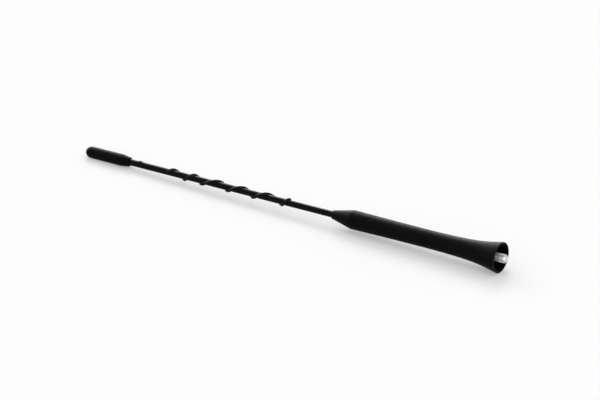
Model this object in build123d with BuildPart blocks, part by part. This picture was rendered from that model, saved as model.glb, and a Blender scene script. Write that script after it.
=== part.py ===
from build123d import *
from math import cos, pi, radians, sin
import os

os.makedirs("parts", exist_ok=True)

# Car mast aerial, in millimetres. X runs along the mast's axis, from the tip towards the stud.
# The origin is on that axis, in the plane of the skirt's rim.

# Base grip
rim_diameter = 18.0
rim_wall = 1.15
rim_round = 0.2
skirt_depth = 11.0
skirt_floor_diameter = 11.8
flare_length = 51.55
flare_ease = 41.2
flare_reach = 9.3
flare_slope = 0.15
waist_diameter = 10.43
body_length = 44.85
shoulder_diameter = 11.04
shoulder_round = 4.6
nose_length = 13.1
nose_diameter = 5.0
nose_round = 0.3

# Threaded stud: the fastening thread outside, a thinner one in the ferrule
stud_diameter = 5.0
stud_past_rim = 3.4
stud_chamfer = 0.5
spigot_diameter = 4.0
spigot_length = 10.0
spigot_chamfer = 0.4

# Ferrule
flange_diameter = 8.6
flange_thickness = 2.0
flange_proud = 0.6
hexagon_flats = 7.0
hexagon_length = 16.0
groove_diameter = 6.0
groove_width = 1.8
socket_diameter = 5.0
socket_length = 14.0
spigot_hole_depth = 11.0

# Mast: rod, sleeve and winding
rod_diameter = 2.4
rod_chamfer = 0.2
rod_in_ferrule = 14.5
sleeve_wall = 0.68
wire_diameter = 0.8
wire_cover = 0.5
lining_under_wire = 0.36
plain_above_grip = 29.48
plain_below_cap = 26.65
winding_phase = 59.8
half_turn_advances = (4.2, 9.97, 9.44, 7.38, 9.83, 6.61, 10.95, 5.51, 6.01, 8.04, 4.95)
last_half_turn_share = 0.68
points_per_half_turn = 6

# Tip cap
cap_length = 29.9
cap_mouth_diameter = 6.9
cap_dome_diameter = 6.79
cap_dome_length = 4.14
cap_shoulder_length = 5.3
cap_shoulder_round = 6.9
cap_end_diameter = 5.45
cap_end_round = 0.6
cap_bore_depth = 24.0
cap_end_gap = 0.3

# Clearances
thread_gap = 0.03
socket_gap = 0.02
sleeve_gap = 0.02
cap_gap = 0.05
end_gap = 0.5


def winding_advance(half_turns):
    # Distance along the mast after a number of half turns, eased from each half turn into the next
    last = len(half_turn_advances) - 1
    index = min(int(half_turns), last)
    share = half_turns - index
    here = half_turn_advances[index]
    slope_in = (half_turn_advances[max(index - 1, 0)] + here) / 2
    slope_out = (here + half_turn_advances[min(index + 1, last)]) / 2
    rise = here * share**2 * (3 - 2 * share)
    bend = slope_in * share * (1 - share) ** 2 - slope_out * share**2 * (1 - share)
    return sum(half_turn_advances[:index]) + rise + bend


# Stations along X, counted from the rim towards the tip
waist_x = -flare_length
shoulder_x = waist_x - body_length
nose_x = shoulder_x - nose_length
floor_x = -skirt_depth
ferrule_face_x = floor_x + flange_proud
hexagon_x = ferrule_face_x - flange_thickness
socket_x = hexagon_x - hexagon_length
ferrule_end_x = socket_x - socket_length
sleeve_foot_x = ferrule_end_x - end_gap
rod_foot_x = ferrule_end_x + rod_in_ferrule - end_gap
winding_foot_x = nose_x - plain_above_grip
half_turns_wound = len(half_turn_advances) - 1 + last_half_turn_share
winding_head_x = winding_foot_x - winding_advance(half_turns_wound)
cap_mouth_x = winding_head_x - plain_below_cap
tip_x = cap_mouth_x - cap_length
cap_bore_end_x = cap_mouth_x - cap_bore_depth
mast_head_x = cap_bore_end_x + cap_end_gap

# Radii shared by pieces that fit together
rod_radius = rod_diameter / 2
sleeve_bore_radius = rod_radius + sleeve_gap
sleeve_radius = sleeve_bore_radius + sleeve_wall
wire_radius = wire_diameter / 2
ridge_radius = wire_radius + wire_cover
winding_radius = sleeve_bore_radius + lining_under_wire + wire_radius


def winding_point(half_turns):
    # Point on the centre line of the wire; the winding is left-handed
    angle = radians(winding_phase) + pi * half_turns
    x = winding_foot_x - winding_advance(half_turns)
    return (x, winding_radius * cos(angle), winding_radius * sin(angle))


winding_steps = points_per_half_turn * len(half_turn_advances)
winding_points = [winding_point(half_turns_wound * step / winding_steps) for step in range(winding_steps + 1)]

# Ferrule, first without its holes, as the grip is moulded around it
with BuildPart() as ferrule_blank:
    with BuildSketch(Plane.YZ.offset(hexagon_x)):
        Circle(flange_diameter / 2)
    extrude(amount=flange_thickness)
    with BuildSketch(Plane.YZ.offset(socket_x)):
        RegularPolygon(radius=hexagon_flats / 2, side_count=6, major_radius=False)
    extrude(amount=hexagon_length)
    with BuildSketch(Plane.YZ.offset(ferrule_end_x)):
        Circle(socket_diameter / 2)
    extrude(amount=socket_length)
    # Two grooves around the hexagon keep the rubber from sliding along it
    for share in (1 / 3, 2 / 3):
        with BuildSketch(Plane.YZ.offset(hexagon_x - share * hexagon_length - groove_width / 2)):
            Circle(hexagon_flats)
            Circle(groove_diameter / 2, mode=Mode.SUBTRACT)
        extrude(amount=groove_width, mode=Mode.SUBTRACT)

with BuildPart() as ferrule:
    add(ferrule_blank.part)
    # Tapped hole for the stud's spigot
    with BuildSketch(Plane.YZ.offset(ferrule_face_x)):
        Circle(spigot_diameter / 2 + thread_gap)
    extrude(amount=-spigot_hole_depth, mode=Mode.SUBTRACT)
    # Socket for the rod
    with BuildSketch(Plane.YZ.offset(ferrule_end_x)):
        Circle(rod_radius + socket_gap)
    extrude(amount=rod_in_ferrule, mode=Mode.SUBTRACT)
ferrule.part.label = "ferrule"
export_step(ferrule.part, "parts/ferrule.step")

# Stud, with the thread's outside diameter as a plain cylinder
with BuildPart() as threaded_stud:
    with BuildSketch(Plane.YZ.offset(ferrule_face_x)):
        Circle(stud_diameter / 2)
    extrude(amount=stud_past_rim - ferrule_face_x)
    with BuildSketch(Plane.YZ.offset(ferrule_face_x)):
        Circle(spigot_diameter / 2)
    extrude(amount=-spigot_length)
    stud_circles = threaded_stud.edges().filter_by(GeomType.CIRCLE).sort_by(Axis.X)
    chamfer(stud_circles[-1], length=stud_chamfer)
    chamfer(stud_circles[0], length=spigot_chamfer)
threaded_stud.part.label = "threaded_stud"
export_step(threaded_stud.part, "parts/threaded_stud.step")

# Base grip: turned outline, hollow skirt, and the room taken by the ferrule and the sleeve
with BuildPart() as base_grip:
    with BuildSketch(Plane.XY) as grip_outline:
        with BuildLine():
            Polyline(
                (0, rim_diameter / 2),
                (0, 0),
                (nose_x, 0),
                (nose_x, nose_diameter / 2),
                (shoulder_x, shoulder_diameter / 2),
            )
            TangentArc((waist_x, waist_diameter / 2), (shoulder_x, shoulder_diameter / 2), tangent=(-1, 0))
            Bezier(
                (waist_x, waist_diameter / 2),
                (waist_x + flare_ease, waist_diameter / 2),
                (-flare_reach, rim_diameter / 2 - flare_slope * flare_reach),
                (0, rim_diameter / 2),
            )
        make_face()
        corners = grip_outline.vertices().sort_by(Axis.Y)
        fillet(corners.filter_by_position(Axis.X, shoulder_x - 0.001, shoulder_x + 0.001), radius=shoulder_round)
        fillet(corners.filter_by_position(Axis.X, nose_x - 0.001, nose_x + 0.001)[-1], radius=nose_round)
    revolve(axis=Axis.X)
    with BuildSketch(Plane.XY):
        Polygon(
            (0, 0),
            (0, rim_diameter / 2 - rim_wall),
            (floor_x, skirt_floor_diameter / 2),
            (floor_x, 0),
            align=None,
        )
    revolve(axis=Axis.X, mode=Mode.SUBTRACT)
    rim_edges = base_grip.edges().filter_by_position(Axis.X, -0.001, 0.001)
    fillet(rim_edges.filter_by(GeomType.CIRCLE), radius=min(rim_round, 0.4 * rim_wall))
    add(ferrule_blank.part, mode=Mode.SUBTRACT)
    with BuildSketch(Plane.YZ.offset(ferrule_end_x)):
        Circle(sleeve_radius)
    extrude(amount=nose_x - ferrule_end_x, mode=Mode.SUBTRACT)
base_grip.part.label = "base_grip"
export_step(base_grip.part, "parts/base_grip.step")

# Mast rod, from the ferrule's socket to the inside of the cap
with BuildPart() as mast_rod:
    with BuildSketch(Plane.YZ.offset(mast_head_x)):
        Circle(rod_radius)
    extrude(amount=rod_foot_x - mast_head_x)
    chamfer(mast_rod.edges().filter_by(GeomType.CIRCLE), length=rod_chamfer)
mast_rod.part.label = "mast_rod"
export_step(mast_rod.part, "parts/mast_rod.step")

# Wire wound around the mast under the sleeve
with BuildPart() as spiral_wire:
    with BuildLine() as winding:
        Spline(*winding_points)
    with BuildSketch(Plane(winding.line @ 0, z_dir=winding.line % 0)):
        Circle(wire_radius)
    sweep(path=winding.line, is_frenet=True)
spiral_wire.part.label = "spiral_wire"
export_step(spiral_wire.part, "parts/spiral_wire.step")

# Sleeve shrunk over rod and wire: a tube with a rounded ridge where it covers the wire
with BuildPart() as mast_sleeve:
    with BuildSketch(Plane.YZ.offset(mast_head_x)):
        Circle(sleeve_radius)
    extrude(amount=sleeve_foot_x - mast_head_x)
    with BuildSketch(Plane(winding.line @ 0, z_dir=winding.line % 0)):
        Circle(ridge_radius)
    sweep(path=winding.line, is_frenet=True)
    for end in (0, 1):
        with Locations(winding.line @ end):
            Sphere(ridge_radius)
    with BuildSketch(Plane.YZ.offset(mast_head_x)):
        Circle(sleeve_bore_radius)
    extrude(amount=sleeve_foot_x - mast_head_x, mode=Mode.SUBTRACT)
    add(spiral_wire.part, mode=Mode.SUBTRACT)
mast_sleeve.part.label = "mast_sleeve"
export_step(mast_sleeve.part, "parts/mast_sleeve.step")

# Tip cap: dome, slight taper, and a tapered shoulder at its mouth
with BuildPart() as tip_cap:
    with BuildSketch(Plane.XY) as cap_outline:
        with BuildLine():
            EllipticalCenterArc(
                (tip_x + cap_dome_length, 0), cap_dome_length, cap_dome_diameter / 2, start_angle=90, arc_size=90
            )
            Polyline(
                (tip_x + cap_dome_length, cap_dome_diameter / 2),
                (cap_mouth_x - cap_shoulder_length, cap_mouth_diameter / 2),
                (cap_mouth_x, cap_end_diameter / 2),
                (cap_mouth_x, 0),
                (tip_x, 0),
            )
        make_face()
        cap_corners = cap_outline.vertices().sort_by(Axis.Y)
        fillet(cap_corners[-1], radius=cap_shoulder_round)
        fillet(cap_corners.filter_by_position(Axis.X, cap_mouth_x - 0.001, cap_mouth_x + 0.001)[-1], cap_end_round)
    revolve(axis=Axis.X)
    with BuildSketch(Plane.YZ.offset(cap_mouth_x)):
        Circle(sleeve_radius + cap_gap)
    extrude(amount=-cap_bore_depth, mode=Mode.SUBTRACT)
tip_cap.part.label = "tip_cap"
export_step(tip_cap.part, "parts/tip_cap.step")
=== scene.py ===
import math

import bmesh
import bpy
import numpy as np
from mathutils import Matrix, Vector


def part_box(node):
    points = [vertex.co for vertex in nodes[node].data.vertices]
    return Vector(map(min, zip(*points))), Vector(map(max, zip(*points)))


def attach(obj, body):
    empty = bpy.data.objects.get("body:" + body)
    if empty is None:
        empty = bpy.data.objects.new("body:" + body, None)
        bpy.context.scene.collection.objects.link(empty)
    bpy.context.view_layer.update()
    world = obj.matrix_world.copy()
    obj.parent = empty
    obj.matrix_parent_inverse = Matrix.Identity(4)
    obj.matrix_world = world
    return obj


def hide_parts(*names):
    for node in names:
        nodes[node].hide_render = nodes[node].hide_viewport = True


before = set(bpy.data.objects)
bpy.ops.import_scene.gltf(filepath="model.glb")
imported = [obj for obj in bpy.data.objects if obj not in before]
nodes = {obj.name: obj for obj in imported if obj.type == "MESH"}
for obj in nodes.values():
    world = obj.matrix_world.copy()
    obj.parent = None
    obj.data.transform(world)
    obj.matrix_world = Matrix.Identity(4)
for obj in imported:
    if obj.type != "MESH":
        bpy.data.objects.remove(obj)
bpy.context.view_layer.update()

MM = 0.001


def lowest(node):
    """Lowest corner of a CAD node, in millimetres."""
    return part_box(node)[0] / MM


def highest(node):
    """Highest corner of a CAD node, in millimetres."""
    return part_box(node)[1] / MM


# Sizes repeated from the part's source, in millimetres and degrees
STUD_RADIUS = 2.5
STUD_CHAMFER = 0.5
SPIGOT_RADIUS = 2.0
SPIGOT_CHAMFER = 0.4
RIM_ROUND = 0.2
CAP_SHOULDER_LENGTH = 5.3
SLEEVE_BORE_RADIUS = 1.22
SLEEVE_WALL = 0.68
LINING_UNDER_WIRE = 0.36
WIRE_RADIUS = 0.4
WIRE_COVER = 0.5
PLAIN_ABOVE_GRIP = 29.48
WINDING_PHASE = 59.8
HALF_TURN_ADVANCES = (4.2, 9.97, 9.44, 7.38, 9.83, 6.61, 10.95, 5.51, 6.01, 8.04, 4.95)
LAST_HALF_TURN_SHARE = 0.68

SLEEVE_RADIUS = SLEEVE_BORE_RADIUS + SLEEVE_WALL
RIDGE_RADIUS = WIRE_RADIUS + WIRE_COVER
WINDING_RADIUS = SLEEVE_BORE_RADIUS + LINING_UNDER_WIRE + WIRE_RADIUS
HALF_TURNS_WOUND = len(HALF_TURN_ADVANCES) - 1 + LAST_HALF_TURN_SHARE

# Places taken from the frame, in millimetres
STUD_FOOT_X = highest("ferrule").x
STUD_END_X = highest("threaded_stud").x
SPIGOT_END_X = lowest("threaded_stud").x
SLEEVE_FOOT_X = highest("mast_sleeve").x
SLEEVE_HEAD_X = lowest("mast_sleeve").x
WINDING_FOOT_X = lowest("base_grip").x - PLAIN_ABOVE_GRIP
RIM_X, RIM_RADIUS, _ = highest("base_grip")
CAP_MOUTH_X, CAP_RADIUS, _ = highest("tip_cap")

# Finer forms: the ridge's soft foot, the wire's channel, a small lump, and threads as (depth, pitch)
RIDGE_SOFTNESS = 0.2
CHANNEL_GAP = 0.01
LUMP_X = -240.0
LUMP_ANGLE = 62.0
LUMP_HEIGHT = 0.42
LUMP_HALF_LENGTH = 1.3
LUMP_HALF_ANGLE = 34.4
STUD_THREAD = (0.46, 0.8)
SPIGOT_THREAD = (0.40, 0.7)
THREAD_PLAIN_FOOT = 0.5
THREAD_RUN_OUT_PITCHES = 1.4

# One pitch of a thread: place along the pitch, and height from root to crest
THREAD_PROFILE = (
    (0.00, 0.0), (0.10, 0.0), (0.16, 0.12),
    (0.40, 0.86), (0.46, 1.0), (0.58, 1.0),
    (0.64, 0.86), (0.88, 0.12), (0.94, 0.0),
)

# Fineness of the meshes
SLEEVE_COLUMNS = 72
COLUMN_CROWDING = 0.57
WOUND_ROWS = 420
WIRE_SAMPLES = 2601
RIDGE_REACH = 2.6
WINDING_END_REACH = 2.4
WINDING_END_ROWS = 20
LUMP_REACH = 6.0
LUMP_ROWS = 25
PLAIN_ROWS = 8
BORE_ROW_STEP = 3
CHANNEL_COLUMNS = 16
CHANNEL_ROWS = 214
STUD_COLUMNS = 64
DISC_RINGS = (1.0, 0.6, 0.25)
BISECTIONS = 22
WELD_REACH = 0.002


# Mesh helpers

def new_piece(name, points_mm, faces):
    """A mesh object in the part's frame, from points in millimetres."""
    mesh = bpy.data.meshes.new(name)
    mesh.from_pydata([tuple(value * MM for value in point) for point in points_mm], [], faces)
    mesh.validate()
    piece = bpy.data.objects.new(name, mesh)
    bpy.context.scene.collection.objects.link(piece)
    return piece


def ring_points(x, radii, angles):
    """Points about the axis at one station."""
    return [(x, y, z) for y, z in zip(radii * np.cos(angles), radii * np.sin(angles))]


def band(first, second, columns):
    """Quads between two rings of points, each given by the place of its first point."""
    faces = []
    for j in range(columns):
        k = (j + 1) % columns
        faces.append((first + j, first + k, second + k, second + j))
    return faces


def tube(rows, columns):
    """Quads between neighbouring rings, over a number of rings in a row."""
    faces = []
    for row in range(rows - 1):
        faces += band(row * columns, (row + 1) * columns, columns)
    return faces


def flipped(faces):
    """The same faces, looking the other way."""
    return [face[::-1] for face in faces]


def add_mesh(points, faces, more_points, more_faces):
    """Adds points and faces to those of a mesh, and gives the place of the first new point."""
    start = len(points)
    points += more_points
    faces += [tuple(start + place for place in face) for face in more_faces]
    return start


def weld(piece):
    """Joins the points where the parts of a mesh meet, and turns its faces outwards."""
    mesh = bmesh.new()
    mesh.from_mesh(piece.data)
    bmesh.ops.remove_doubles(mesh, verts=mesh.verts, dist=WELD_REACH * MM)
    bmesh.ops.dissolve_degenerate(mesh, edges=mesh.edges, dist=WELD_REACH / 2 * MM)
    bmesh.ops.recalc_face_normals(mesh, faces=mesh.faces)
    mesh.to_mesh(piece.data)
    mesh.free()


def shade_smooth(piece, sharp_degrees):
    """Smooth shading, with edges sharper than the given angle left crisp."""
    piece.data.polygons.foreach_set("use_smooth", [True] * len(piece.data.polygons))
    piece.data.set_sharp_from_angle(angle=math.radians(sharp_degrees))


# Winding

def winding_advance(half_turns):
    """Distance along the mast after a number of half turns, eased from each half turn into the next."""
    last = len(HALF_TURN_ADVANCES) - 1
    index = min(int(half_turns), last)
    share = half_turns - index
    here = HALF_TURN_ADVANCES[index]
    slope_in = (HALF_TURN_ADVANCES[max(index - 1, 0)] + here) / 2
    slope_out = (here + HALF_TURN_ADVANCES[min(index + 1, last)]) / 2
    rise = here * share**2 * (3 - 2 * share)
    bend = slope_in * share * (1 - share) ** 2 - slope_out * share**2 * (1 - share)
    return sum(HALF_TURN_ADVANCES[:index]) + rise + bend


def winding_angle(half_turns):
    """Angle about the axis after a number of half turns, in radians."""
    return math.radians(WINDING_PHASE) + math.pi * half_turns


def winding_point(half_turns):
    """Point on the centre line of the wire."""
    angle = winding_angle(half_turns)
    x = WINDING_FOOT_X - winding_advance(half_turns)
    return (x, WINDING_RADIUS * math.cos(angle), WINDING_RADIUS * math.sin(angle))


# Sleeve over rod and wire

def smooth_min(first, second, softness):
    """Smaller of two distances, blended where they differ by less than the softness."""
    blend = np.maximum(softness - np.abs(first - second), 0.0) / softness
    return np.minimum(first, second) - blend**2 * softness / 4


def sleeve_radii(x, angles, wire_line):
    """Outer radius of the sleeve at one station: a tube that rises over the wire and eases into its foot."""
    low = np.full(len(angles), SLEEVE_RADIUS)
    near = wire_line[np.abs(wire_line[:, 0] - x) < RIDGE_REACH]
    if not len(near):
        return low
    high = np.full(len(angles), WINDING_RADIUS + RIDGE_RADIUS + RIDGE_SOFTNESS)
    directions = np.stack([np.cos(angles), np.sin(angles)], 1)
    along_squared = (near[:, 0] - x) ** 2
    for _ in range(BISECTIONS):
        middle = (low + high) / 2
        offset = directions[:, None, :] * middle[:, None, None] - near[None, :, 1:]
        ridge = np.sqrt((offset**2).sum(2) + along_squared[None, :]).min(1) - RIDGE_RADIUS
        inside = smooth_min(middle - SLEEVE_RADIUS, ridge, RIDGE_SOFTNESS) < 0
        low = np.where(inside, middle, low)
        high = np.where(inside, high, middle)
    return (low + high) / 2


def lump_heights(x, angles):
    """Height of the small lump under the sleeve, near the cap, at one station."""
    aside = np.angle(np.exp(1j * (angles - math.radians(LUMP_ANGLE))))
    along_share = math.exp(-(((x - LUMP_X) / LUMP_HALF_LENGTH) ** 2))
    return LUMP_HEIGHT * along_share * np.exp(-((aside / math.radians(LUMP_HALF_ANGLE)) ** 2))


def sleeve_stations():
    """Places along the sleeve, each with the angle that its columns are turned to.
    They lie close along the winding, at both its ends and over the lump."""
    foot_angle, head_angle = winding_angle(0), winding_angle(HALF_TURNS_WOUND)
    head_x = WINDING_FOOT_X - winding_advance(HALF_TURNS_WOUND)
    foot_end_x, head_end_x = WINDING_FOOT_X + WINDING_END_REACH, head_x - WINDING_END_REACH
    before = np.linspace(SLEEVE_FOOT_X, foot_end_x, PLAIN_ROWS, endpoint=False)
    foot_end = np.linspace(foot_end_x, WINDING_FOOT_X, WINDING_END_ROWS, endpoint=False)
    head_end = np.linspace(head_x, head_end_x, WINDING_END_ROWS + 1)[1:]
    over_lump = np.linspace(LUMP_X + LUMP_REACH, LUMP_X - LUMP_REACH, LUMP_ROWS)
    after = np.linspace(LUMP_X - LUMP_REACH, SLEEVE_HEAD_X, PLAIN_ROWS)[1:]
    stations = [(x, foot_angle) for x in (*before, *foot_end)]
    for half_turns in np.linspace(0, HALF_TURNS_WOUND, WOUND_ROWS + 1):
        stations.append((WINDING_FOOT_X - winding_advance(half_turns), winding_angle(half_turns)))
    stations += [(x, head_angle) for x in (*head_end, *over_lump, *after)]
    return stations


def wire_channel():
    """Points and faces of the closed channel around the wire. It is a hollow, so its faces look inwards."""
    points = []
    radius = WIRE_RADIUS + CHANNEL_GAP
    step = HALF_TURNS_WOUND / CHANNEL_ROWS
    for row in range(CHANNEL_ROWS + 1):
        centre = Vector(winding_point(row * step))
        ahead = Vector(winding_point(min(row + 0.5, CHANNEL_ROWS) * step))
        behind = Vector(winding_point(max(row - 0.5, 0) * step))
        along = (ahead - behind).normalized()
        side = along.cross(Vector((0, centre.y, centre.z))).normalized()
        out = side.cross(along).normalized()
        for j in range(CHANNEL_COLUMNS):
            angle = 2 * math.pi * j / CHANNEL_COLUMNS
            points.append(tuple(centre + radius * (math.cos(angle) * out + math.sin(angle) * side)))
    faces = flipped(tube(CHANNEL_ROWS + 1, CHANNEL_COLUMNS))
    last = CHANNEL_ROWS * CHANNEL_COLUMNS
    faces.append(tuple(range(CHANNEL_COLUMNS)))
    faces.append(tuple(reversed(range(last, last + CHANNEL_COLUMNS))))
    return points, faces


def make_sleeve():
    """Sleeve with its bore and the wire's channel. Its columns follow the winding, as the ridge does."""
    wound = np.linspace(0, HALF_TURNS_WOUND, WIRE_SAMPLES)
    wire_line = np.array([winding_point(half_turns) for half_turns in wound])
    stations = sleeve_stations()

    # The columns crowd towards the wire
    share = np.linspace(-1, 1, SLEEVE_COLUMNS, endpoint=False)
    spread = math.pi * ((1 - COLUMN_CROWDING) * share + COLUMN_CROWDING * share**3)

    points = []
    for x, turned in stations:
        angles = turned + spread
        points += ring_points(x, sleeve_radii(x, angles, wire_line) + lump_heights(x, angles), angles)
    faces = flipped(tube(len(stations), SLEEVE_COLUMNS))

    bore_stations = stations[:-1:BORE_ROW_STEP] + stations[-1:]
    bore_points = []
    for x, turned in bore_stations:
        bore_points += ring_points(x, SLEEVE_BORE_RADIUS, turned + spread)
    bore = add_mesh(points, faces, bore_points, tube(len(bore_stations), SLEEVE_COLUMNS))

    # Flat rings at both ends
    outer_end = (len(stations) - 1) * SLEEVE_COLUMNS
    bore_end = bore + (len(bore_stations) - 1) * SLEEVE_COLUMNS
    faces += band(0, bore, SLEEVE_COLUMNS)
    faces += band(bore_end, outer_end, SLEEVE_COLUMNS)

    add_mesh(points, faces, *wire_channel())
    return new_piece("sleeve_over_winding", points, faces)


# Stud

def threaded_shank(radius, thread, foot_x, end_x, chamfer):
    """Points and faces of a right-hand threaded shank from a plain foot to a chamfered end.
    Its rows follow the helix, and are held back at both ends."""
    depth, pitch = thread
    sign = 1 if end_x > foot_x else -1
    length = abs(end_x - foot_x)
    run_out = THREAD_RUN_OUT_PITCHES * pitch
    turns = range(-1, int(length / pitch) + 3)
    levels = [(turn + place, height) for turn in turns for place, height in THREAD_PROFILE]
    points = []
    for level, height in levels:
        for j in range(STUD_COLUMNS):
            angle = 2 * math.pi * j / STUD_COLUMNS
            # A right-hand helix turns from +Y to +Z as it goes along +X
            along = min(max(pitch * (level + sign * j / STUD_COLUMNS), 0.0), length)
            cut = depth * min(max((along - THREAD_PLAIN_FOOT) / run_out, 0.0), 1.0)
            out = min(radius - cut * (1 - height), radius - chamfer + length - along)
            points.append((foot_x + sign * along, out * math.cos(angle), out * math.sin(angle)))
    faces = []
    for row in range(len(levels) - 1):
        first, second = row * STUD_COLUMNS, (row + 1) * STUD_COLUMNS
        for j in range(STUD_COLUMNS - 1):
            faces.append((first + j, first + j + 1, second + j + 1, second + j))
        # After a whole turn the strip goes on one pitch further along, or back
        on = row + sign * len(THREAD_PROFILE)
        if 0 <= on < len(levels) - 1:
            last = STUD_COLUMNS - 1
            faces.append((first + last, on * STUD_COLUMNS, (on + 1) * STUD_COLUMNS, second + last))
    return points, faces


def end_disc(x, radius, angles):
    """Points and faces of a flat disc, in rings about its centre."""
    points = []
    for share in DISC_RINGS:
        points += ring_points(x, share * radius, angles)
    faces = tube(len(DISC_RINGS), STUD_COLUMNS)
    inner = len(points) - STUD_COLUMNS
    centre = len(points)
    points.append((x, 0.0, 0.0))
    faces += [(inner + j, inner + (j + 1) % STUD_COLUMNS, centre) for j in range(STUD_COLUMNS)]
    return points, faces


def make_stud():
    """Threaded stud with its thinner spigot: two threaded shanks, a shoulder and two flat ends."""
    angles = np.linspace(0, 2 * math.pi, STUD_COLUMNS, endpoint=False)
    points, faces = [], []
    for radius, thread, end_x, chamfer in (
        (STUD_RADIUS, STUD_THREAD, STUD_END_X, STUD_CHAMFER),
        (SPIGOT_RADIUS, SPIGOT_THREAD, SPIGOT_END_X, SPIGOT_CHAMFER),
    ):
        add_mesh(points, faces, *threaded_shank(radius, thread, STUD_FOOT_X, end_x, chamfer))
        add_mesh(points, faces, *end_disc(end_x, radius - chamfer, angles))
    shoulder = ring_points(STUD_FOOT_X, STUD_RADIUS, angles) + ring_points(STUD_FOOT_X, SPIGOT_RADIUS, angles)
    add_mesh(points, faces, shoulder, band(0, STUD_COLUMNS, STUD_COLUMNS))
    piece = new_piece("stud_with_thread", points, faces)
    weld(piece)
    return piece


# Materials

def first_node(tree, kind):
    """The first node of a type in a tree."""
    return next(node for node in tree.nodes if node.type == kind)


class Material:
    """A Principled material with short helpers for its node tree. Lengths in its textures are millimetres."""

    def __init__(self, name, **sockets):
        self.material = bpy.data.materials.new(name)
        self.material.use_nodes = True
        self.tree = self.material.node_tree
        self.shader = first_node(self.tree, "BSDF_PRINCIPLED")
        for socket, value in sockets.items():
            self.shader.inputs[socket.replace("_", " ")].default_value = value
        place = self.node("ShaderNodeTexCoord")
        scale = self.node("ShaderNodeVectorMath", operation="SCALE")
        scale.inputs["Scale"].default_value = 1 / MM
        self.tree.links.new(place.outputs["Object"], scale.inputs[0])
        self.place = scale.outputs[0]
        split = self.node("ShaderNodeSeparateXYZ")
        self.tree.links.new(self.place, split.inputs[0])
        self.x, y, z = split.outputs
        flat = self.node("ShaderNodeCombineXYZ")
        self.tree.links.new(y, flat.inputs["Y"])
        self.tree.links.new(z, flat.inputs["Z"])
        length = self.node("ShaderNodeVectorMath", operation="LENGTH")
        self.tree.links.new(flat.outputs[0], length.inputs[0])
        self.radius = length.outputs["Value"]

    def node(self, kind, **settings):
        node = self.tree.nodes.new(kind)
        for key, value in settings.items():
            setattr(node, key, value)
        return node

    def feed(self, socket, value):
        """Links a socket to another, or sets it to a number or colour."""
        if isinstance(value, bpy.types.NodeSocket):
            self.tree.links.new(value, socket)
        elif socket.type == "RGBA":
            socket.default_value = (*value, 1.0)
        else:
            socket.default_value = value

    def math(self, operation, first, second):
        node = self.node("ShaderNodeMath", operation=operation)
        self.feed(node.inputs[0], first)
        self.feed(node.inputs[1], second)
        return node.outputs[0]

    def plus(self, first, second):
        return self.math("ADD", first, second)

    def minus(self, first, second):
        return self.math("SUBTRACT", first, second)

    def times(self, first, second):
        return self.math("MULTIPLY", first, second)

    def scaled(self, factors):
        """The place on the piece, with each axis multiplied by its factor."""
        node = self.node("ShaderNodeVectorMath", operation="MULTIPLY")
        self.feed(node.inputs[0], self.place)
        node.inputs[1].default_value = factors
        return node.outputs[0]

    def noise(self, per_mm, detail=3.0, roughness=0.55, distortion=0.0):
        """Noise with features of about 1 / per_mm; per_mm is one number or one for each axis."""
        factors = per_mm if isinstance(per_mm, tuple) else (per_mm,) * 3
        node = self.node("ShaderNodeTexNoise")
        self.feed(node.inputs["Vector"], self.scaled(factors))
        node.inputs["Scale"].default_value = 1.0
        node.inputs["Detail"].default_value = detail
        node.inputs["Roughness"].default_value = roughness
        node.inputs["Distortion"].default_value = distortion
        return node.outputs[0]

    def rings(self, value, per_mm):
        """Noise along one measure only, for turned marks."""
        node = self.node("ShaderNodeTexNoise", noise_dimensions="1D")
        self.feed(node.inputs["W"], self.times(value, per_mm))
        node.inputs["Scale"].default_value = 1.0
        node.inputs["Detail"].default_value = 2.0
        return node.outputs[0]

    def cells(self, per_mm):
        """Distance to the nearest of scattered points, for pores."""
        node = self.node("ShaderNodeTexVoronoi", feature="F1")
        self.feed(node.inputs["Vector"], self.scaled((per_mm,) * 3))
        node.inputs["Scale"].default_value = 1.0
        return node.outputs["Distance"]

    def span(self, value, low, high, to=(0.0, 1.0)):
        """Goes smoothly from the first to the second number of to, as value goes from low to high."""
        node = self.node("ShaderNodeMapRange", interpolation_type="SMOOTHSTEP")
        self.feed(node.inputs["Value"], value)
        node.inputs["From Min"].default_value = low
        node.inputs["From Max"].default_value = high
        node.inputs["To Min"].default_value = to[0]
        node.inputs["To Max"].default_value = to[1]
        return node.outputs["Result"]

    def colours(self, share, first, second):
        """Mix of two colours, by a share of the second."""
        node = self.node("ShaderNodeMix", data_type="RGBA")
        ends = [socket for socket in node.inputs if socket.type == "RGBA"]
        self.feed(node.inputs[0], share)
        self.feed(ends[0], first)
        self.feed(ends[1], second)
        return next(socket for socket in node.outputs if socket.type == "RGBA")

    def bump(self, height, depth_mm, strength=1.0, under=None):
        """Normal of a surface with this height, on top of the bump that is given as under."""
        node = self.node("ShaderNodeBump")
        node.inputs["Strength"].default_value = strength
        node.inputs["Distance"].default_value = depth_mm * MM
        self.feed(node.inputs["Height"], height)
        if under is not None:
            self.feed(node.inputs["Normal"], under)
        return node.outputs["Normal"]

    def finish(self, colour, roughness, normal):
        self.feed(self.shader.inputs["Base Color"], colour)
        self.feed(self.shader.inputs["Roughness"], roughness)
        self.feed(self.shader.inputs["Normal"], normal)
        return self.material


def grey(level, blue=1.0):
    """A grey, with its blue share raised or lowered a little."""
    return (level, level, level * blue)


def darker(colour, share):
    """A share of a colour."""
    return tuple(share * value for value in colour)


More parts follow.
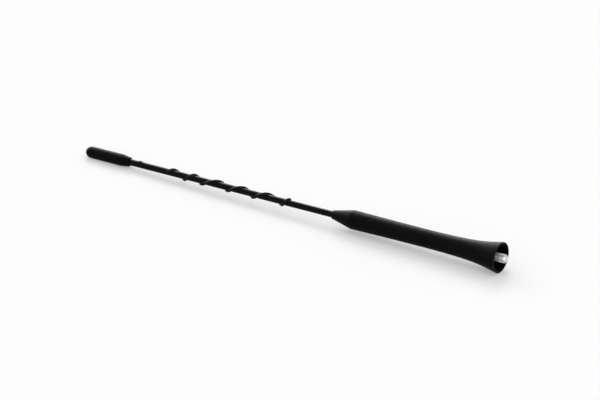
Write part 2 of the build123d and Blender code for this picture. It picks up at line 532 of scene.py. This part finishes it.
def moulded_rubber(name, edge_x, edge_width):
    """Black rubber: eroded mould grain, faint cloudy bloom, rare rubbed streaks, and a paler worn edge
    of the given width that ends at edge_x."""
    rubber = Material(name, Specular_IOR_Level=0.036, Sheen_Weight=0.03, Sheen_Roughness=0.35)
    cloud = rubber.noise(per_mm=0.16, detail=4.0, roughness=0.6, distortion=0.4)
    grain = rubber.noise(per_mm=6.5, detail=2.0, roughness=0.6)
    pores = rubber.cells(per_mm=2.6)
    streaks = rubber.noise(per_mm=(0.10, 1.6, 1.6), roughness=0.6)
    patches = rubber.noise(per_mm=1.2)
    rubbed = rubber.span(streaks, 0.60, 0.74)
    along_edge = rubber.span(rubber.x, edge_x - edge_width, edge_x)
    worn = rubber.times(along_edge, rubber.span(patches, 0.35, 0.65))

    colour = rubber.colours(rubber.span(cloud, 0.3, 0.75), grey(0.0014, 1.07), grey(0.0028, 1.07))
    colour = rubber.colours(rubber.times(rubbed, 0.5), colour, grey(0.0050, 1.06))
    colour = rubber.colours(rubber.times(worn, 0.6), colour, grey(0.0055))

    rough = rubber.span(cloud, 0.25, 0.8, to=(0.44, 0.54))
    rough = rubber.plus(rough, rubber.span(grain, 0.3, 0.7, to=(-0.03, 0.03)))
    rough = rubber.minus(rough, rubber.times(rubbed, 0.05))
    rough = rubber.minus(rough, rubber.times(worn, 0.03))

    normal = rubber.bump(grain, depth_mm=0.018)
    normal = rubber.bump(pores, depth_mm=0.012, strength=0.6, under=normal)
    return rubber.finish(colour, rough, normal)


def shrunk_sleeve(name):
    """Thin black polymer sleeve: satin, drawn lengthwise, with a slightly mottled skin."""
    polymer = Material(name, Specular_IOR_Level=0.06)
    mottle = polymer.noise(per_mm=0.9, roughness=0.6)
    drawn = polymer.noise(per_mm=(0.22, 5.0, 5.0), detail=2.0, roughness=0.6)
    fine = polymer.noise(per_mm=9.0, detail=2.0)

    colour = polymer.colours(polymer.span(mottle, 0.3, 0.72), grey(0.0012, 1.08), grey(0.0030, 1.07))

    rough = polymer.span(mottle, 0.3, 0.7, to=(0.24, 0.34))
    rough = polymer.plus(rough, polymer.span(drawn, 0.3, 0.7, to=(-0.04, 0.04)))

    normal = polymer.bump(drawn, depth_mm=0.010)
    normal = polymer.bump(mottle, depth_mm=0.05, strength=0.6, under=normal)
    normal = polymer.bump(fine, depth_mm=0.006, strength=0.6, under=normal)
    return polymer.finish(colour, rough, normal)


def plated_metal(name, bright, dull, rough_range, root_shade_radii=None, skirt_shade_x=None):
    """Turned, plated metal: ring marks and cloudy plating. Painted shade in the thread roots comes in between
    the first two of four radii and goes between the last two. Painted shade inside the skirt grows from the
    first to the second of two stations on the axis."""
    metal = Material(name, Metallic=1.0)
    turned_path = metal.plus(metal.x, metal.radius)
    marks = metal.rings(turned_path, per_mm=9.0)
    fine = metal.rings(turned_path, per_mm=34.0)
    cloud = metal.noise(per_mm=0.8, detail=4.0, roughness=0.6)
    specks = metal.noise(per_mm=7.0)

    colour = metal.colours(metal.span(cloud, 0.3, 0.75), bright, dull)
    rough = metal.span(cloud, 0.25, 0.75, to=rough_range)
    rough = metal.plus(rough, metal.span(specks, 0.35, 0.65, to=(-0.03, 0.05)))
    # Painted shade: the thread roots are made darker and rougher
    if root_shade_radii is not None:
        core, root, flank, crest = root_shade_radii
        outside_core = metal.span(metal.radius, core, root)
        below_crest = metal.span(metal.radius, flank, crest, to=(1.0, 0.0))
        root_shade = metal.times(outside_core, below_crest)
        colour = metal.colours(metal.times(root_shade, 0.65), colour, darker(dull, 0.35))
        rough = metal.plus(rough, metal.times(root_shade, 0.18))
    # Painted shade: darker and rougher towards the foot, where the stud sits inside the skirt, with an uneven
    # edge
    if skirt_shade_x is not None:
        unshaded_x, shaded_x = skirt_shade_x
        uneven = metal.span(metal.noise(per_mm=0.9), 0.3, 0.7, to=(-0.8, 0.8))
        skirt_shade = metal.span(metal.plus(metal.x, uneven), shaded_x, unshaded_x, to=(1.0, 0.0))
        colour = metal.colours(metal.times(skirt_shade, 0.75), colour, darker(dull, 0.12))
        rough = metal.plus(rough, metal.times(skirt_shade, 0.15))

    normal = metal.bump(marks, depth_mm=0.010, strength=0.6)
    normal = metal.bump(fine, depth_mm=0.004, strength=0.6, under=normal)
    normal = metal.bump(specks, depth_mm=0.004, strength=0.5, under=normal)
    return metal.finish(colour, rough, normal)


def drawn_metal(name, bright, dull):
    """Drawn steel: fine marks along its length, and faint oxide clouds."""
    metal = Material(name, Metallic=1.0)
    drawn = metal.noise(per_mm=(0.25, 9.0, 9.0), roughness=0.6)
    cloud = metal.noise(per_mm=0.35, detail=4.0, roughness=0.6)
    colour = metal.colours(metal.span(cloud, 0.3, 0.75), bright, dull)
    rough = metal.span(cloud, 0.3, 0.7, to=(0.28, 0.42))
    rough = metal.plus(rough, metal.span(drawn, 0.3, 0.7, to=(-0.05, 0.06)))
    normal = metal.bump(drawn, depth_mm=0.008, strength=0.7)
    return metal.finish(colour, rough, normal)


def wear(piece, material):
    """Gives a piece one material."""
    piece.data.materials.clear()
    piece.data.materials.append(material)


# The object

grip_rubber = moulded_rubber("grip_rubber", edge_x=RIM_X, edge_width=0.9)
cap_rubber = moulded_rubber("cap_rubber", edge_x=CAP_MOUTH_X, edge_width=1.1)
rod_steel = drawn_metal("rod_steel", bright=(0.46, 0.46, 0.47), dull=(0.36, 0.36, 0.37))
wire_steel = drawn_metal("wire_steel", bright=(0.52, 0.50, 0.47), dull=(0.40, 0.385, 0.36))
ferrule_plating = plated_metal(
    "ferrule_plating",
    bright=(0.62, 0.61, 0.58),
    dull=(0.46, 0.45, 0.42),
    rough_range=(0.26, 0.42),
)
# The stud gets painted shade in its thread roots and where it sits inside the skirt
stud_plating = plated_metal(
    "stud_plating",
    bright=(0.74, 0.74, 0.73),
    dull=(0.60, 0.60, 0.59),
    rough_range=(0.20, 0.34),
    root_shade_radii=(STUD_RADIUS - 0.75, STUD_RADIUS - 0.50, STUD_RADIUS - 0.40, STUD_RADIUS - 0.14),
    skirt_shade_x=(RIM_X + 0.8, RIM_X - 2.4),
)

wear(nodes["base_grip"], grip_rubber)
wear(nodes["tip_cap"], cap_rubber)
wear(nodes["ferrule"], ferrule_plating)
wear(nodes["mast_rod"], rod_steel)
wear(nodes["spiral_wire"], wire_steel)

sleeve = make_sleeve()
shade_smooth(sleeve, sharp_degrees=50)
wear(sleeve, shrunk_sleeve("sleeve_polymer"))
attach(sleeve, "root")
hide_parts("mast_sleeve")

stud = make_stud()
shade_smooth(stud, sharp_degrees=40)
wear(stud, stud_plating)
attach(stud, "root")
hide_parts("threaded_stud")


# Floor and world, both whiter where the camera or a reflection looks at them than as a light

FLOOR_HALF_WIDTH = 20.0 / MM
FLOOR_GLOW_SHARE = 0.30
WORLD_LIGHT = 0.80
WORLD_SEEN = 1.0


def seen_directly(tree):
    """A socket that is 1 for what the camera, a reflection or glass looks at, and 0 for light."""
    path = tree.nodes.new("ShaderNodeLightPath")
    seen = path.outputs["Is Camera Ray"]
    for ray in ("Is Glossy Ray", "Is Transmission Ray"):
        either = tree.nodes.new("ShaderNodeMath")
        either.operation = "MAXIMUM"
        tree.links.new(seen, either.inputs[0])
        tree.links.new(path.outputs[ray], either.inputs[1])
        seen = either.outputs[0]
    return seen


def between(tree, share, low, high):
    """A socket that goes from low to high as share goes from 0 to 1."""
    node = tree.nodes.new("ShaderNodeMapRange")
    tree.links.new(share, node.inputs["Value"])
    node.inputs["To Min"].default_value = low
    node.inputs["To Max"].default_value = high
    return node.outputs["Result"]


def floor_white():
    """Matt white that takes the shadow, and glows a little where it is looked at."""
    material = bpy.data.materials.new("floor_white")
    material.use_nodes = True
    tree = material.node_tree
    matt = first_node(tree, "BSDF_PRINCIPLED")
    matt.inputs["Base Color"].default_value = (0.90, 0.90, 0.90, 1.0)
    matt.inputs["Roughness"].default_value = 1.0
    matt.inputs["Specular IOR Level"].default_value = 0.0
    glow = tree.nodes.new("ShaderNodeEmission")
    glow.inputs["Color"].default_value = (0.98, 0.98, 0.98, 1.0)
    mix = tree.nodes.new("ShaderNodeMixShader")
    tree.links.new(between(tree, seen_directly(tree), 0.0, FLOOR_GLOW_SHARE), mix.inputs[0])
    tree.links.new(matt.outputs[0], mix.inputs[1])
    tree.links.new(glow.outputs[0], mix.inputs[2])
    tree.links.new(mix.outputs[0], first_node(tree, "OUTPUT_MATERIAL").inputs["Surface"])
    return material


def make_floor():
    """The plane on which the aerial lies, touching the skirt's rim and the cap, and its upward direction."""
    rim_x = RIM_X - RIM_ROUND
    cap_x = CAP_MOUTH_X - CAP_SHOULDER_LENGTH
    tilt = math.asin((RIM_RADIUS - CAP_RADIUS) / (rim_x - cap_x))
    upward = Vector((math.sin(tilt), 0, math.cos(tilt)))
    along = Vector((math.cos(tilt), 0, -math.sin(tilt)))
    across = Vector((0, 1, 0))
    centre = Vector((rim_x, 0, 0)) - RIM_RADIUS * upward
    points = []
    for along_sign, across_sign in ((-1, -1), (1, -1), (1, 1), (-1, 1)):
        points.append(tuple(centre + FLOOR_HALF_WIDTH * (along_sign * along + across_sign * across)))
    plane = new_piece("floor", points, [(0, 1, 2, 3)])
    wear(plane, floor_white())
    return plane, upward


def make_world():
    """A white world."""
    world = bpy.data.worlds.new("studio")
    bpy.context.scene.world = world
    world.use_nodes = True
    world.cycles.sampling_method = "NONE"
    tree = world.node_tree
    background = first_node(tree, "BACKGROUND")
    background.inputs["Color"].default_value = (1.0, 1.0, 1.0, 1.0)
    strength = between(tree, seen_directly(tree), WORLD_LIGHT, WORLD_SEEN)
    tree.links.new(strength, background.inputs["Strength"])


floor, floor_up = make_floor()
make_world()


# Camera at the photograph's angle, on the photograph's 600 x 400 frame, in degrees and millimetres

VIEW_AZIMUTH = 32.257
VIEW_ELEVATION = 26.239
VIEW_ROLL = -1.143
AIM_X = -138.95
AIM_RIGHT = 6.256
AIM_UP = 1.76
CAMERA_DISTANCE = 3335.0
SENSOR_WIDTH = 36.0
LENS = 352.14


def make_camera():
    """Makes the camera, and gives the direction from the object to it."""
    azimuth, elevation = math.radians(VIEW_AZIMUTH), math.radians(VIEW_ELEVATION)
    level = Vector((math.cos(azimuth), math.sin(azimuth), 0))
    ahead = Vector((-math.sin(azimuth), math.cos(azimuth), 0))
    back = math.sin(elevation) * Vector((0, 0, 1)) - math.cos(elevation) * ahead
    right = Matrix.Rotation(math.radians(VIEW_ROLL), 3, back) @ level
    up = back.cross(right)
    aim = Vector((AIM_X, 0, 0)) + AIM_RIGHT * right + AIM_UP * up
    data = bpy.data.cameras.new("camera")
    data.sensor_fit = "HORIZONTAL"
    data.sensor_width = SENSOR_WIDTH
    data.lens = LENS
    data.clip_start = 0.05
    data.clip_end = 100.0
    camera = bpy.data.objects.new("camera", data)
    place = Matrix.Translation((aim + CAMERA_DISTANCE * back) * MM)
    camera.matrix_world = place @ Matrix((right, up, back)).transposed().to_4x4()
    bpy.context.scene.collection.objects.link(camera)
    bpy.context.scene.camera = camera
    return back


to_camera = make_camera()


# Soft lights: one above and behind the aerial as the camera sees it, a weaker one from the tip's side,
# and three that show in gloss only, one of them on the camera's side

away = -(to_camera - to_camera.dot(floor_up) * floor_up).normalized()
towards_stud = away.cross(floor_up).normalized()


def soft_light(name, from_vertical, turn, energy, width, gloss_only=False):
    """A far light. Its slant from vertical, its turn from straight behind towards the stud's end and its
    width are in degrees."""
    slant, turned = math.radians(from_vertical), math.radians(turn)
    level = math.cos(turned) * away + math.sin(turned) * towards_stud
    to_light = math.cos(slant) * floor_up + math.sin(slant) * level
    data = bpy.data.lights.new(name, "SUN")
    data.energy = energy
    data.angle = math.radians(width)
    light = bpy.data.objects.new(name, data)
    light.rotation_mode = "QUATERNION"
    light.rotation_quaternion = to_light.to_track_quat("Z", "Y")
    light.visible_diffuse = not gloss_only
    bpy.context.scene.collection.objects.link(light)


soft_light("soft_box", from_vertical=54, turn=0, energy=1.25, width=28)
soft_light("side_box", from_vertical=62, turn=-40, energy=0.45, width=26)
soft_light("far_gloss", from_vertical=70, turn=-12, energy=3.0, width=46, gloss_only=True)
soft_light("tip_gloss", from_vertical=62, turn=-62, energy=0.6, width=30, gloss_only=True)
soft_light("near_gloss", from_vertical=76, turn=158, energy=3.6, width=50, gloss_only=True)

bpy.context.scene.view_settings.view_transform = "Standard"
